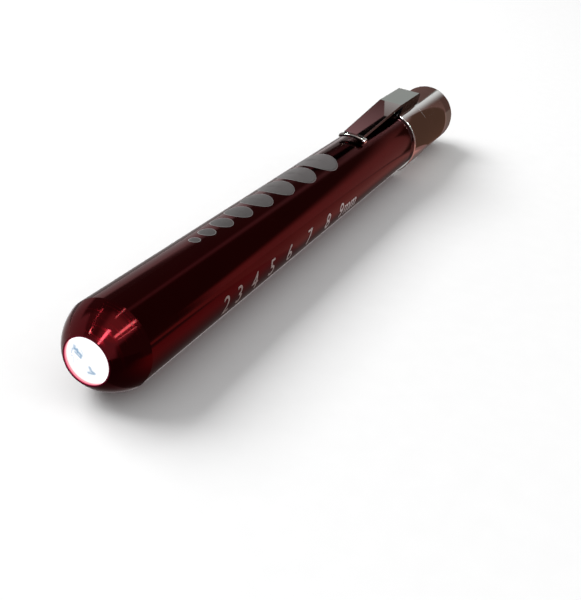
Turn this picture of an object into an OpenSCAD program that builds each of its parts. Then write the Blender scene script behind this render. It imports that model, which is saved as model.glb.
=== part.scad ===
// Penlight: a turned barrel with a domed nose, a light unit pressed in behind the nose, two AAA cells in line,
// and a screwed tail cap that holds the click switch and clamps the collar of the pocket clip.
// Each piece is drawn about its own axis with the nose rim at zero and the tail at the far end.
// The finished piece is then laid along X, nose to +X and clip to +Z.

/* [Cells] */
// Diameter of one cell over its jacket
cell_d = 10.5; // [10:0.1:11]
// Length of one cell over its terminals
cell_len = 44.5; // [43.5:0.1:45]
// Diameter of the positive terminal
nub_d = 3.8; // [3:0.1:4.2]
// Height of the positive terminal
nub_h = 0.8; // [0.6:0.1:1.2]
// Thickness of the printed jacket
jacket_t = 0.2; // [0.15:0.05:0.3]
// Rounding at the ends of the can
can_round = 0.5; // [0.3:0.1:0.8]

/* [Barrel] */
// Room round the cells in the bore
cell_gap = 0.25; // [0.15:0.05:0.4]
// Wall of the barrel
barrel_wall = 1.5; // [1.4:0.05:2]
// Diameter of the light opening
window_d = 7.1; // [6:0.1:7.4]
// Width of the flat rim round the light opening
rim_w = 0.25; // [0.2:0.05:0.4]
// Length of the domed nose
nose_len = 5.1; // [4.8:0.1:6]
// Radius of the curve of the dome
nose_curve_r = 10.3; // [8:0.1:14]
// Length of the light opening's bore
window_len = 1.6; // [1.4:0.1:2]
// Width of the ledge that the lens seats on
lens_ledge = 0.95; // [0.7:0.05:1.1]
// Depth of the turned seat under the collar
seat_depth = 0.2; // [0.18:0.02:0.3]
// How far the tail thread is wider than the bore
thread_step = 0.5; // [0.4:0.05:0.6]
// Run-out of the tail thread beyond the spigot
thread_relief = 0.6; // [0.4:0.1:1]

/* [Light unit] */
// Set-back of the lens face from the rim
lens_recess = 0.4; // [0.2:0.1:0.8]
// Rise of the lens face at its centre
lens_crown = 0.3; // [0.2:0.05:0.5]
// Thickness of the lens flange
lens_flange_t = 1.2; // [1:0.1:1.5]
// Length of the reflector's reduced front end
reflector_neck = 1.6; // [1.2:0.1:2]
// Wall of the reflector at its front edge
reflector_edge = 0.35; // [0.25:0.05:0.5]
// Depth of the reflector's cone
cone_depth = 4.6; // [3.5:0.1:5.5]
// Diameter of the lamp
led_d = 5; // [4.8:0.1:5.2]
// Length of the lamp from base to tip
led_len = 8.6; // [8:0.1:9]
// Thickness of the lamp's base flange
led_flange_t = 1; // [0.8:0.1:1.2]
// Width of the lamp's base flange
led_flange_w = 0.4; // [0.3:0.05:0.5]
// Room between the lamp's tip and the lens
led_tip_gap = 1; // [0.6:0.1:1.5]
// Side of a square lamp lead
lead_w = 0.5; // [0.4:0.05:0.6]
// Spacing of the lamp leads
lead_pitch = 2.54; // [2.2:0.02:2.8]
// Depth of the leads inside the lamp, from its base
lead_depth = 3.6; // [3:0.1:4.2]
// Width of the anvil that carries the die
anvil_w = 1.3; // [1.1:0.05:1.5]
// Length of the anvil
anvil_len = 1; // [0.8:0.1:1.2]
// Diameter of the light-giving die
die_d = 0.9; // [0.7:0.05:1.1]
// Thickness of the die
die_t = 0.3; // [0.2:0.05:0.4]
// Length of the lamp holder
holder_len = 4.9; // [4:0.1:6]
// Diameter of the holder's passage for the leads
holder_bore_d = 4.4; // [4:0.1:5]
// Thickness of the circuit board
board_t = 1; // [0.8:0.1:1.6]
// Length of the resistor
resistor_len = 3.2; // [2:0.1:3.6]
// Width of the resistor
resistor_w = 1.6; // [1:0.1:1.8]
// Height of the resistor
resistor_h = 0.6; // [0.4:0.05:0.8]
// Room between the resistor and the front contact
resistor_gap = 0.5; // [0.3:0.05:0.7]
// Diameter of the front contact
contact_d = 4.4; // [4:0.1:5]
// Height of the front contact
contact_h = 0.9; // [0.8:0.05:1.2]

/* [Battery spring] */
// Length of the spring between rear cell and plate
spring_len = 14; // [12:0.5:18]
// Coil radius at the plate
spring_plate_r = 3.2; // [2.8:0.1:3.4]
// Coil radius at the cell
spring_cell_r = 2.3; // [2:0.1:2.8]
// Wire diameter
spring_wire_d = 0.8; // [0.6:0.05:0.9]
// Turns
spring_turns = 6; // [4:1:7]

/* [Tail cap] */
// How far the cap's radius is below the collar's
cap_step = 0.2; // [0.1:0.05:0.4]
// Length of the cap behind the collar
cap_len = 22.2; // [20:0.2:26]
// Rounding of the cap's tail edge
cap_round = 1.2; // [0.6:0.1:1.6]
// Relief where the cap meets the collar
cap_bevel = 0.35; // [0.2:0.05:0.5]
// Length of the threaded spigot
spigot_len = 12; // [10:0.5:14]
// Depth of the spigot's thread
thread_depth = 0.4; // [0.35:0.05:0.5]
// Wall of the spigot under its thread
spigot_wall = 0.65; // [0.6:0.05:0.7]
// Thickness of the cap's end wall
end_wall_t = 3; // [2.5:0.1:4]

/* [Switch] */
// Set-back of the retaining ring from the spigot's edge
ring_recess = 0.4; // [0.2:0.1:1]
// Thickness of the retaining ring
ring_t = 2; // [1.5:0.1:2.5]
// Width of the retaining ring's key slots
slot_w = 1.2; // [1:0.1:1.5]
// Depth of the retaining ring's key slots
slot_depth = 1; // [0.6:0.1:1.2]
// Thickness of the spring plate
plate_t = 0.6; // [0.5:0.05:1]
// Length of the switch housing
housing_len = 13.6; // [13:0.2:16]
// Wall of the switch housing
housing_wall = 1.35; // [1.1:0.05:1.5]
// Thickness of the housing's floor
housing_floor = 1.2; // [1:0.1:1.6]
// Thickness of the housing's cover
cover_t = 1.4; // [1.2:0.1:2]
// Diameter of the plunger's stem
stem_d = 4; // [3.6:0.1:4.4]
// How far the plunger's stem stands out of the cover
stem_out = 2.2; // [2:0.1:3]
// Diameter of the plunger's tip
tip_d = 3.2; // [2.8:0.1:3.6]
// Thickness of the plunger's collar
plunger_collar_t = 1.6; // [1.2:0.1:2]
// Room between the plunger's collar and the cover
plunger_slack = 0.5; // [0.4:0.1:0.8]
// Diameter of the fixed contact's head
stud_d = 3.4; // [3:0.1:3.8]
// Diameter of the fixed contact's shank
stud_shank_d = 1.6; // [1.4:0.1:2]
// Height of the fixed contact's head
stud_h = 1.1; // [0.9:0.1:1.3]
// Contact gap that is left when the button is fully home
closed_gap = 0.1; // [0.05:0.05:0.2]
// Travel of the button
travel = 2.6; // [2:0.1:3]
// Wire diameter of the return spring
return_wire_d = 0.5; // [0.4:0.05:0.6]
// Turns of the return spring
return_turns = 6; // [4:1:6]

/* [Button] */
// Diameter of the button
button_d = 7.4; // [6.6:0.1:7.8]
// How far the button stands out of the cap
button_out = 3.4; // [3.2:0.1:4.5]
// Rounding of the button's edge
button_round = 0.9; // [0.4:0.1:1.4]
// Width of the button's stop flange
button_flange_w = 0.8; // [0.6:0.05:0.85]
// Thickness of the button's stop flange
button_flange_t = 1.6; // [1.2:0.1:2]

/* [Pocket clip] */
// Thickness of the sheet
sheet_t = 0.7; // [0.6:0.05:0.8]
// Length of the collar
collar_len = 11.4; // [10:0.2:13]
// Rounding of the collar's front edge
collar_round = 0.25; // [0.15:0.05:0.35]
// Width of the channel over its top
clip_w = 5.4; // [5:0.1:5.8]
// Width of the channel over the feet of its walls
clip_foot_w = 4.4; // [4.2:0.1:4.8]
// Rise of the channel over the collar
clip_rise = 2.85; // [2.6:0.05:3.4]
// Overhang of the channel behind the collar
clip_tail = 1.8; // [1:0.1:2.4]
// Room between the overhang and the cap
clip_tail_gap = 0.4; // [0.3:0.05:0.6]
// Rounding of the channel's tail edge
clip_round = 1.2; // [0.9:0.1:1.6]
// Reach of the arm ahead of the collar
arm_len = 25; // [20:0.2:28]
// Level length of the arm before it slopes to its tip
arm_level = 2; // [1:0.1:4]
// Width of the arm at its tip
arm_tip_w = 4.5; // [4:0.1:5]
// Room between the arm's tip and the barrel
arm_gap = 0.6; // [0.56:0.02:1]
// Length of the lip ahead of the arm
lip_len = 1; // [0.8:0.1:2]
// Width of the lip
lip_w = 6; // [5.4:0.1:6.6]
// Overlap of the lip and the arm
lip_lap = 0.5; // [0.3:0.1:0.8]

/* [Fits] */
// Running fit of the screwed and sliding pieces
run_fit = 0.05; // [0.03:0.01:0.08]
// Fit of the pieces that are pressed or dropped into a seat
seat_fit = 0.05; // [0.03:0.01:0.1]
// Room between a spring and what is round it
spring_room = 0.5; // [0.4:0.05:0.6]

/* [Hidden] */
$fn = 96;
// Overrun of every cut past the face that it opens
cut = 0.5;
// Sides of a wire and rings in one of its turns
wire_sides = 6;
turn_rings = 8;

// Radii of the barrel
bore_r = cell_d / 2 + cell_gap;
barrel_r = bore_r + barrel_wall;
window_r = window_d / 2;
rim_r = window_r + rim_w;
lens_seat_r = window_r + lens_ledge;
seat_r = barrel_r - seat_depth;
thread_r = bore_r + thread_step;

// Places of the light unit along the axis
lens_back = window_len + lens_flange_t;
bore_start = lens_back + reflector_neck;
reflector_len = led_len - led_flange_t + led_tip_gap;
reflector_back = lens_back + reflector_len;
led_tip = lens_back + led_tip_gap;
led_base = reflector_back + led_flange_t;
holder_back = reflector_back + holder_len;
board_back = holder_back + board_t;
led_r = led_d / 2;
led_bore_r = led_r + seat_fit;
led_flange_r = led_r + led_flange_w;
anvil_top = led_base - lead_depth;
lead_end = holder_back + board_t / 2;
unit_r = bore_r - seat_fit;

// Places of the cells along the axis
cells_start = board_back + contact_h;
rear_cell_start = cells_start + cell_len;
cells_end = rear_cell_start + cell_len;
can_r = cell_d / 2 - jacket_t;

// Places of the tail along the axis
plate_front = cells_end + spring_len;
spigot_front = plate_front - ring_t - ring_recess;
shoulder = spigot_front + spigot_len;
barrel_len = shoulder - sheet_t;
cap_end = shoulder + cap_len;
end_wall = cap_end - end_wall_t;
housing_front = plate_front + plate_t;
cavity_front = housing_front + housing_floor;
cover_front = housing_front + housing_len - cover_t;
cover_back = housing_front + housing_len;
stem_back = cover_back + stem_out;
plunger_collar_back = cover_front - plunger_slack;
plunger_collar_front = plunger_collar_back - plunger_collar_t;
stud_top = cavity_front + stud_h;
tip_front = stud_top + closed_gap + travel;

// Radii of the tail
spigot_r = thread_r - run_fit - thread_depth;
switch_bore_r = spigot_r - spigot_wall;
switch_r = switch_bore_r - seat_fit;
cavity_r = switch_r - housing_wall;
stem_r = stem_d / 2;
plunger_collar_r = cavity_r - run_fit;
button_r = button_d / 2;
button_flange_r = button_r + button_flange_w;
button_bore_r = button_flange_r + run_fit;
return_r = cavity_r - spring_room - return_wire_d / 2;
ring_bore_r = spring_plate_r + spring_wire_d / 2 + spring_room;

// Collar and clip
collar_in_r = seat_r + run_fit;
collar_r = collar_in_r + sheet_t;
cap_r = collar_r - cap_step;
collar_front = shoulder - collar_len;
clip_top = collar_r + clip_rise;
clip_half_w = clip_w / 2;
wall_foot = sqrt(pow(collar_in_r, 2) - pow(clip_foot_w / 2, 2));
channel_back = shoulder + clip_tail;
arm_bend = collar_front - arm_level;
arm_tip = collar_front - arm_len;
lip_front = arm_tip - lip_len;
lip_in_r = barrel_r + arm_gap;
arm_tip_top = lip_in_r + sheet_t;

// The part's origin is the middle of the barrel's plain length
grip_front = nose_len;
grip_back = collar_front;
nose_x = (grip_front + grip_back) / 2;

// Lay a piece drawn about the Z axis along X, nose forward and clip up
module lay() {
    translate([nose_x, 0, 0])
        rotate([0, -90, 0])
            children();
}

// Solid round bar between two places on the axis
module bar(r, from, to) {
    translate([0, 0, from])
        cylinder(r = r, h = to - from);
}

// Round hole that overruns both places
module hole(r, from, to) {
    bar(r, from - cut, to + cut);
}

// Half outline of a bar with its far edge rounded
module rounded_end(r, from, to, round) {
    translate([0, from]) {
        square([r - round, to - from]);
        square([r, to - from - round]);
        translate([r - round, to - from - round])
            circle(r = round);
    }
}

// Carry a side outline, drawn as place along the axis and height, to the clip's middle plane
module side(half_w) {
    rotate(-120, [1, 1, 1])
        linear_extrude(height = 2 * half_w, center = true)
            children();
}

// Path of a spring whose ends stand straight for one wire diameter
function coil_path(r0, r1, from, to, turns, wire) =
    let (steps = turns * turn_rings, rise = to - from - 2 * wire)
    concat(
        [[r0, 0, from]],
        [for (i = [0 : steps])
            let (share = i / steps, a = 360 * turns * share, r = r0 + (r1 - r0) * share)
            [r * cos(a), r * sin(a), from + wire + rise * share]],
        [[r1 * cos(360 * turns), r1 * sin(360 * turns), to]]
    );

// Direction of a path at one of its points, square to the seats at both ends
function path_dir(path, i) =
    i == 0 || i == len(path) - 1 ? [0, 0, 1] :
    let (d = path[i + 1] - path[i - 1])
    d / norm(d);

// Ring of corners round a path's point
function wire_ring(path, i, wire) =
    let (p = path[i], d = path_dir(path, i), out = [p[0], p[1], 0] / norm([p[0], p[1]]))
    let (side_dir = cross(d, out), n = side_dir / norm(side_dir), m = cross(n, d))
    [for (k = [0 : wire_sides - 1])
        let (a = 360 * k / wire_sides)
        p + (m * cos(a) + n * sin(a)) * wire / 2];

// Least gap between two turns of a path, measured at its points
function least_gap(path, wire) =
    min([for (i = [0 : len(path) - 1])
        for (j = [i + turn_rings / 2 : 1 : len(path) - 1])
            norm(path[i] - path[j])]) - wire;

// Wire of one unbroken skin along a path
module wire_along(path, wire) {
    rings = len(path);
    corners = [for (i = [0 : rings - 1]) each wire_ring(path, i, wire)];
    skin = [for (i = [0 : rings - 2])
        for (k = [0 : wire_sides - 1])
            let (a = i * wire_sides + k, b = i * wire_sides + (k + 1) % wire_sides)
            each [[a, a + wire_sides, b], [b, a + wire_sides, b + wire_sides]]];
    first = [for (k = [1 : wire_sides - 2]) [0, k, k + 1]];
    base = (rings - 1) * wire_sides;
    last = [for (k = [1 : wire_sides - 2]) [base, base + k + 1, base + k]];
    polyhedron(points = corners, faces = concat(skin, first, last));
}

// Outline of the barrel: a plain tube, a dome of one arc and a flat rim
module barrel_outline() {
    chord = [barrel_r - rim_r, nose_len];
    half = norm(chord) / 2;
    inward = [-chord[1], chord[0]] / (2 * half);
    centre = [rim_r, 0] + chord / 2 + inward * sqrt(pow(nose_curve_r, 2) - pow(half, 2));
    polygon([[0, 0], [rim_r, 0], [barrel_r, nose_len], [barrel_r, collar_front], [seat_r, collar_front],
        [seat_r, barrel_len], [0, barrel_len]]);
    intersection() {
        polygon([[rim_r, 0], [barrel_r, 0], [barrel_r, nose_len]]);
        translate(centre)
            circle(r = nose_curve_r);
    }
}

module barrel() {
    color("#4a0a10")
        lay()
            difference() {
                rotate_extrude()
                    barrel_outline();
                hole(window_r, 0, window_len);
                bar(lens_seat_r, window_len, bore_start + cut);
                bar(bore_r, bore_start, barrel_len + cut);
                bar(thread_r, spigot_front - thread_relief, barrel_len + cut);
            }
}

// Clear plug with a crowned face, held against the nose ledge by its flange
module front_lens() {
    face_r = window_r - seat_fit;
    crown_r = (face_r * face_r + lens_crown * lens_crown) / (2 * lens_crown);
    color("#e8f0f4")
        lay() {
            bar(lens_seat_r - seat_fit, window_len, lens_back);
            intersection() {
                bar(face_r, lens_recess, lens_back);
                translate([0, 0, lens_recess + crown_r])
                    sphere(r = crown_r);
            }
        }
}

// Plated cup with a cone in front and a bore for the lamp behind
module reflector() {
    neck_r = lens_seat_r - seat_fit;
    cone_r = neck_r - reflector_edge;
    color("#d8dadc")
        lay()
            difference() {
                union() {
                    bar(neck_r, lens_back, reflector_back);
                    bar(unit_r, bore_start + seat_fit, reflector_back);
                }
                hole(led_bore_r, lens_back, reflector_back);
                rotate_extrude()
                    polygon([[0, lens_back - cut], [cone_r, lens_back - cut], [cone_r, lens_back],
                        [led_bore_r, lens_back + cone_depth], [0, lens_back + cone_depth]]);
            }
}

// Pair of square posts at the spacing of the lamp leads
module lead_posts(width, from, to) {
    for (s = [-1, 1])
        translate([s * lead_pitch / 2 - width / 2, -width / 2, from])
            cube([width, width, to - from]);
}

// Two leads, one of which turns in to the anvil under the die
module leads() {
    lead_posts(lead_w, anvil_top, lead_end);
    translate([-(lead_pitch + lead_w) / 2, -lead_w / 2, anvil_top])
        cube([(lead_pitch + lead_w + anvil_w) / 2, lead_w, anvil_len]);
}

module die() {
    bar(die_d / 2, anvil_top - die_t, anvil_top);
}

// Clear lamp with a round tip and a base flange that is flat on the cathode side
module led_body() {
    color("#f4f6fa")
        lay()
            difference() {
                union() {
                    bar(led_r, led_tip + led_r, led_base);
                    translate([0, 0, led_tip + led_r])
                        sphere(r = led_r);
                    intersection() {
                        bar(led_flange_r, reflector_back, led_base);
                        translate([-led_r, -led_flange_r, reflector_back])
                            cube([led_r + led_flange_r, 2 * led_flange_r, led_flange_t]);
                    }
                }
                leads();
                die();
            }
}

module led_leads() {
    color("#b8bcc0")
        lay()
            leads();
}

module led_die() {
    color("#f2e27a")
        lay()
            die();
}

// Bush that presses the lamp into the reflector and keeps its leads off the barrel
module led_holder() {
    color("#eceae4")
        lay()
            difference() {
                bar(unit_r, reflector_back, holder_back);
                hole(holder_bore_d / 2, reflector_back, holder_back);
                bar(led_flange_r + seat_fit, reflector_back - cut, led_base);
            }
}

module led_board() {
    color("#1f6b45")
        lay()
            difference() {
                bar(unit_r, holder_back, board_back);
                lead_posts(lead_w + 2 * seat_fit, holder_back - cut, board_back + cut);
            }
}

// Flat chip soldered beside the contact, on the board's cell side
module board_resistor() {
    color("#26282a")
        lay()
            translate([contact_d / 2 + resistor_gap, -resistor_len / 2, board_back])
                cube([resistor_w, resistor_len, resistor_h]);
}

module front_contact() {
    color("#c8a24a")
        lay()
            rotate_extrude()
                rounded_end(contact_d / 2, board_back, cells_start, contact_h / 2);
}

// Steel can with its positive terminal towards the nose
module can(start) {
    translate([0, 0, start])
        rotate_extrude() {
            square([nub_d / 2, cell_len]);
            translate([0, nub_h])
                square([can_r - can_round, cell_len - nub_h]);
            translate([0, nub_h + can_round])
                square([can_r, cell_len - nub_h - 2 * can_round]);
            for (y = [nub_h + can_round, cell_len - can_round])
                translate([can_r - can_round, y])
                    circle(r = can_round);
        }
}

// Printed sleeve round the straight length of a can
module jacket(start) {
    from = start + nub_h + can_round;
    to = start + cell_len - can_round;
    difference() {
        bar(cell_d / 2, from, to);
        hole(can_r, from, to);
    }
}

module front_cell() {
    color("#b9bcc2")
        lay()
            can(cells_start);
}

module front_cell_jacket() {
    color("#3a4a58")
        lay()
            jacket(cells_start);
}

module rear_cell() {
    color("#b9bcc2")
        lay()
            can(rear_cell_start);
}

module rear_cell_jacket() {
    color("#3a4a58")
        lay()
            jacket(rear_cell_start);
}

// Tapered spring between the rear cell and the plate
module battery_spring() {
    path = coil_path(spring_cell_r, spring_plate_r, cells_end, plate_front, spring_turns, spring_wire_d);
    echo(battery_spring_gap = least_gap(path, spring_wire_d));
    color("#c4c8cc")
        lay()
            wire_along(path, spring_wire_d);
}

module spring_plate() {
    color("#c8a24a")
        lay()
            bar(switch_r, plate_front, housing_front);
}

// Screwed ring with two key slots that clamps the switch in the cap
module retaining_ring() {
    ring_front = spigot_front + ring_recess;
    color("#b8933f")
        lay()
            difference() {
                bar(switch_r, ring_front, plate_front);
                hole(ring_bore_r, ring_front, plate_front);
                translate([-switch_bore_r, -slot_w / 2, ring_front - cut])
                    cube([2 * switch_bore_r, slot_w, slot_depth + cut]);
            }
}

module switch_housing() {
    color("#1c1d1f")
        lay()
            difference() {
                bar(switch_r, housing_front, cover_front);
                bar(cavity_r, cavity_front, cover_front + cut);
                hole(stud_shank_d / 2 + seat_fit, housing_front, cavity_front);
            }
}

module switch_cover() {
    color("#2a2c2f")
        lay()
            difference() {
                bar(switch_r, cover_front, cover_back);
                hole(stem_r + run_fit, cover_front, cover_back);
            }
}

// Riveted stud that joins the spring plate to the plunger's tip when the button is home
module switch_contact() {
    color("#c8a24a")
        lay() {
            bar(stud_shank_d / 2, housing_front, cavity_front);
            bar(stud_d / 2, cavity_front, stud_top);
        }
}

module switch_plunger() {
    color("#dcdad2")
        lay() {
            bar(tip_d / 2, tip_front, plunger_collar_front);
            bar(plunger_collar_r, plunger_collar_front, plunger_collar_back);
            bar(stem_r, plunger_collar_back, stem_back);
        }
}

module return_spring() {
    path = coil_path(return_r, return_r, cavity_front, plunger_collar_front, return_turns, return_wire_d);
    echo(return_spring_gap = least_gap(path, return_wire_d));
    color("#c4c8cc")
        lay()
            wire_along(path, return_wire_d);
}

// Rounded button on a stop flange, with a stem that reaches the plunger
module push_button() {
    flange_front = end_wall - button_flange_t;
    color("#cfd3d6")
        lay() {
            bar(stem_r, stem_back, flange_front);
            bar(button_flange_r, flange_front, end_wall);
            rotate_extrude()
                rounded_end(button_r, end_wall, cap_end + button_out, button_round);
        }
}

// Turned cap: spigot drawn at the root of its thread, bevelled shoulder, plain grip and rounded tail edge
module tail_cap() {
    color("#d3d6d9")
        lay()
            difference() {
                union() {
                    bar(spigot_r, spigot_front, shoulder);
                    rotate_extrude() {
                        polygon([[0, shoulder], [cap_r - cap_bevel, shoulder], [cap_r, shoulder + cap_bevel],
                            [0, shoulder + cap_bevel]]);
                        rounded_end(cap_r, shoulder + cap_bevel, cap_end, cap_round);
                    }
                }
                bar(switch_bore_r, spigot_front - cut, cover_back);
                bar(button_bore_r, cover_back - cut, end_wall);
                hole(button_r + run_fit, end_wall, cap_end);
            }
}

// Side outline of the channel, filled down to its foot
module channel_side(front, inset, foot) {
    top = clip_top - inset;
    back = channel_back - inset;
    round = clip_round - inset;
    translate([front, foot])
        square([back - front - round, top - foot]);
    translate([front, foot])
        square([back - front, top - foot - round]);
    translate([back - round, top - round])
        circle(r = round);
}

// Section of the channel across the axis: a flat top on walls that lean in to their feet
module channel_section(inset) {
    half = clip_half_w - inset;
    foot_half = clip_foot_w / 2 - inset;
    knee = clip_top - sheet_t;
    translate([0, 0, collar_front - cut])
        linear_extrude(height = channel_back - collar_front + 2 * cut)
            polygon([[wall_foot - cut, -foot_half], [wall_foot, -foot_half], [knee, -half],
                [clip_top + cut, -half], [clip_top + cut, half], [knee, half], [wall_foot, foot_half],
                [wall_foot - cut, foot_half]]);
}

// Channel of bent sheet that stands on the collar, open at its front and below
module channel() {
    difference() {
        intersection() {
            side(clip_w)
                channel_side(collar_front, 0, wall_foot);
            channel_section(0);
        }
        intersection() {
            side(clip_w)
                channel_side(collar_front - cut, sheet_t, wall_foot - cut);
            channel_section(sheet_t);
        }
        bar(collar_in_r, collar_front - cut, shoulder);
        bar(cap_r + clip_tail_gap, shoulder, channel_back + cut);
    }
}

// Band round the barrel's seat, split between the channel's walls and closed in front of the cap by a washer
module collar() {
    split_half_w = clip_foot_w / 2 - sheet_t;
    difference() {
        rotate_extrude()
            translate([0, collar_front + shoulder])
                mirror([0, 1])
                    rounded_end(collar_r, collar_front, shoulder, collar_round);
        bar(collar_in_r, collar_front - cut, barrel_len);
        hole(thread_r, barrel_len, shoulder);
        translate([0, -split_half_w, collar_front - cut])
            cube([clip_top, 2 * split_half_w, collar_len - sheet_t + cut]);
    }
}

// Side outline of the arm: level sheet from the channel, then a straight slope to the tip
module arm_side() {
    under = clip_top - sheet_t;
    polygon([[arm_tip, lip_in_r], [arm_bend, under], [collar_front + sheet_t, under],
        [collar_front + sheet_t, clip_top], [arm_bend, clip_top], [arm_tip, arm_tip_top]]);
}

// Plan of the arm, drawn as place along the axis and width, tapering towards the tip
module arm_plan() {
    back = collar_front + sheet_t;
    polygon([[arm_tip, -arm_tip_w / 2], [arm_bend, -clip_half_w], [back, -clip_half_w],
        [back, clip_half_w], [arm_bend, clip_half_w], [arm_tip, arm_tip_w / 2]]);
}

// Lip across the arm's tip, curved round the barrel and rounded at its front edge
module lip() {
    edge_r = sheet_t / 2;
    intersection() {
        rotate_extrude()
            translate([lip_in_r, lip_front + edge_r]) {
                square([sheet_t, lip_len + lip_lap - edge_r]);
                translate([edge_r, 0])
                    circle(r = edge_r);
            }
        translate([0, -lip_w / 2, lip_front - cut])
            cube([arm_tip_top + cut, lip_w, lip_len + lip_lap + 2 * cut]);
    }
}

// Arm: its side outline cut to its plan
module arm() {
    intersection() {
        side(clip_half_w)
            arm_side();
        rotate([0, -90, 0])
            mirror([0, 0, 1])
                linear_extrude(height = clip_top)
                    arm_plan();
    }
}

// Collar, channel, arm and lip in one stamping
module pocket_clip() {
    color("#dfe2e5")
        lay() {
            collar();
            channel();
            arm();
            lip();
        }
}

barrel();
front_lens();
reflector();
led_body();
led_leads();
led_die();
led_holder();
led_board();
board_resistor();
front_contact();
front_cell();
front_cell_jacket();
rear_cell();
rear_cell_jacket();
battery_spring();
spring_plate();
retaining_ring();
switch_housing();
switch_cover();
switch_contact();
switch_plunger();
return_spring();
push_button();
tail_cap();
pocket_clip();
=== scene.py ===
import math

import bmesh
import bpy
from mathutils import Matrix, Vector


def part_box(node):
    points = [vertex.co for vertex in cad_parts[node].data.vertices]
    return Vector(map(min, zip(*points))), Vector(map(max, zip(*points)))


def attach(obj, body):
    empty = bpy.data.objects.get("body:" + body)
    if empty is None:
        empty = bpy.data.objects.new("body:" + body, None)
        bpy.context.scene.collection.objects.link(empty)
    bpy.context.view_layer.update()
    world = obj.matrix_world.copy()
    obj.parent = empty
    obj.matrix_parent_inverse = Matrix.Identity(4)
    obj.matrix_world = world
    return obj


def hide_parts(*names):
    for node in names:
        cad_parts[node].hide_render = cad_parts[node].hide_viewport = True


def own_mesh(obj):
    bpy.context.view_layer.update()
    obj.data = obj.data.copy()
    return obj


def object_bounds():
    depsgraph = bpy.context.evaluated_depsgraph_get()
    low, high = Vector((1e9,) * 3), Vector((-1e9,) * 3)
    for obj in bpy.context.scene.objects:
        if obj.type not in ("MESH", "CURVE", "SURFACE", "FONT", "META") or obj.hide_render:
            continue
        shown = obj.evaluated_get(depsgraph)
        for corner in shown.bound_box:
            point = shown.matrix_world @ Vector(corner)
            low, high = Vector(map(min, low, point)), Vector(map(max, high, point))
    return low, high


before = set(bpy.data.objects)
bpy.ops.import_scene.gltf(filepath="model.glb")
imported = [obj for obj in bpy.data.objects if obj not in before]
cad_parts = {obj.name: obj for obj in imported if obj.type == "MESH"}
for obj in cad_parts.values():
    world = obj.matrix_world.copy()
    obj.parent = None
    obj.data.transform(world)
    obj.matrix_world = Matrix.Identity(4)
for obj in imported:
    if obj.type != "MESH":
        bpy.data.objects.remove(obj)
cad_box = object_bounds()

# Barrel: one tube of aluminium with a domed nose, turned from bar and polished.
# It is anodised and dyed a deep wine red, and everything else is fitted into it or onto it.
mm = 0.001
nose_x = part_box("barrel")[1].x
barrel_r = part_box("barrel")[1].z
dome_len = 5.1 * mm
dome_blend = 0.1 * dome_len
window_r = 3.55 * mm
wall_slack = 0.01 * mm
# Depth of the lens edge in the nose, and the width and level of the painted glow that spills over the rim.
lens_edge_s = 0.7 * mm
spill_w = 0.3 * mm
painted_spill_level = 0.5
dye_patch = 9 * mm
ring_pitch = 0.25 * mm
ring_depth = 0.02 * mm
groove_low, groove_high = 0.54, 0.62
groove_sheen = 0.1
rim_share = 0.5
noise_low, noise_high = 0.3, 0.7


def linear(code):
    """An sRGB hex colour as the linear RGBA that a socket takes."""
    shares = [int(code[i:i + 2], 16) / 255 for i in (1, 3, 5)]
    return [c / 12.92 if c <= 0.04045 else ((c + 0.055) / 1.055) ** 2.4 for c in shares] + [1.0]


def add(tree, kind, inputs=None, **settings):
    """Add a node with its settings; an input takes a value, a socket, or a node for its first output."""
    made = tree.nodes.new(kind)
    for name, value in settings.items():
        setattr(made, name, value)
    for key, value in (inputs or {}).items():
        if isinstance(value, bpy.types.Node):
            value = value.outputs[0]
        if isinstance(value, bpy.types.NodeSocket):
            tree.links.new(value, made.inputs[key])
        else:
            made.inputs[key].default_value = value
    return made


def start_finish(name, **sockets):
    """A new material with its shader, and the object's own coordinates in metres."""
    made = bpy.data.materials.new(name)
    made.use_nodes = True
    tree = made.node_tree
    tree.nodes.clear()
    shader = add(tree, "ShaderNodeBsdfPrincipled", {k.replace("_", " "): v for k, v in sockets.items()})
    add(tree, "ShaderNodeOutputMaterial", {"Surface": shader})
    place = add(tree, "ShaderNodeTexCoord").outputs["Object"]
    return made, tree, shader, place


def dress(finish, *nodes):
    """Give the objects of CAD nodes their finish."""
    for name in nodes:
        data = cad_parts[name].data
        data.materials.clear()
        data.materials.append(finish)


# Dyed anodised aluminium: a dark red mirror under a thin clear oxide, which greys towards the edges.
# The last turning pass leaves rings too fine to count, drawn coarser so that they show as a soft grain.
anodised, tree, shader, place = start_finish(
    "dyed_anodised_aluminium", Metallic=1.0, Coat_Weight=0.12, Coat_Roughness=0.08, Anisotropic=0.35,
    Specular_Tint=linear("#cdc6c6"),
)
dye = add(tree, "ShaderNodeTexNoise", {"Vector": place, "Scale": 1 / dye_patch, "Detail": 3.0})
red = add(tree, "ShaderNodeMix", {0: dye, 6: linear("#3f0106"), 7: linear("#4c0208")}, data_type="RGBA")
ring_scale = (1 / ring_pitch, 1 / dye_patch, 1 / dye_patch)
across = add(tree, "ShaderNodeMapping", {"Vector": place, "Scale": ring_scale})
rings = add(tree, "ShaderNodeTexNoise", {"Vector": across, "Scale": 1.0, "Detail": 2.0})
sheen = add(tree, "ShaderNodeMapRange", {0: rings, 1: noise_low, 2: noise_high, 3: 0.07, 4: 0.13})
grain = add(tree, "ShaderNodeBump", {"Strength": 0.12, "Distance": ring_depth, "Height": rings})
turned = add(tree, "ShaderNodeTangent", direction_type="RADIAL", axis="X")

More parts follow.
